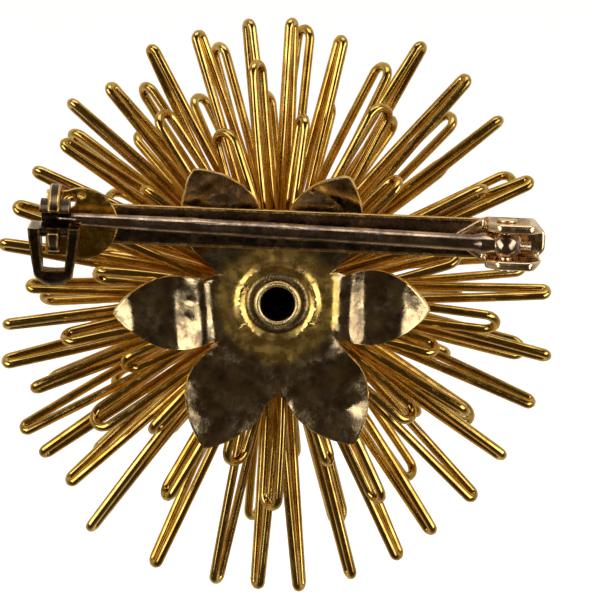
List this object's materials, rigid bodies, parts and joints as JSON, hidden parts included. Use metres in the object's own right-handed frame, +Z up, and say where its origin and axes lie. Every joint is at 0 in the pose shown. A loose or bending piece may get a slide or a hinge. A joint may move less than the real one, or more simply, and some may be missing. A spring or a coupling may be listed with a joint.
{
  "type": "brooch",
  "caption": "Wire sunburst brooch: hairpin rays soldered in tiers to a riveted hub, a petal plate behind it, and a bar pin with hinged needle and rolling safety catch.",
  "frame": {"origin": "in the middle of the whole brooch's overall box, half way through its depth; the rivet's axis runs along Y, 1.8 mm above it and 0.2 mm towards +X", "axes": "as worn: +Z up, +X to the wearer's right, -Y towards the cloth, where the bar pin is, and +Y towards the front"},
  "size_m": [0.0558, 0.0258, 0.0588],
  "materials": {
    "gold_wire": "polished gold plate",
    "hub_brass": "dull gold plate",
    "dark_plate": "polished gold plate, mottled with dark tarnish",
    "dark_finding": "dark tarnish over gold plate",
    "bright_finding": "worn gold plate",
    "needle_metal": "polished, slightly toned",
    "solder": "dull"
  },
  "bodies": {
    "brooch": {"back_plate": "dark_plate", "rivet_washer": "hub_brass", "centre_rivet": "hub_brass", "collar_back": "hub_brass", "collar_long": "hub_brass", "collar_middle": "hub_brass", "collar_front": "hub_brass", "front_cap": "gold_wire", "rays_inner": "gold_wire", "rays_outer": "gold_wire", "rays_long_a": "gold_wire", "rays_long_b": "gold_wire", "rays_middle": "gold_wire", "rays_front": "gold_wire", "rays_crown": "gold_wire", "pin_bar": "dark_finding", "bar_solder": "solder", "hinge_bracket": "bright_finding", "hinge_rivet": "bright_finding", "catch_base": "bright_finding", "catch_ring": "dark_finding"},
    "needle": {"pin_needle": "needle_metal"},
    "lock": {"catch_lock": "dark_finding"}
  },
  "joints": [
    {"name": "needle_hinge", "type": "hinge", "parent": "brooch", "child": "needle", "pos_m": [0.02234, -0.00979, 0.00853], "axis": [0.0401, 0, 0.9992], "range_deg": [0, 58]},
    {"name": "catch_turn", "type": "hinge", "parent": "brooch", "child": "lock", "pos_m": [-0.02124, -0.00979, 0.01118], "axis": [-0.9992, 0, 0.0401], "range_deg": [0, 95]}
  ]
}
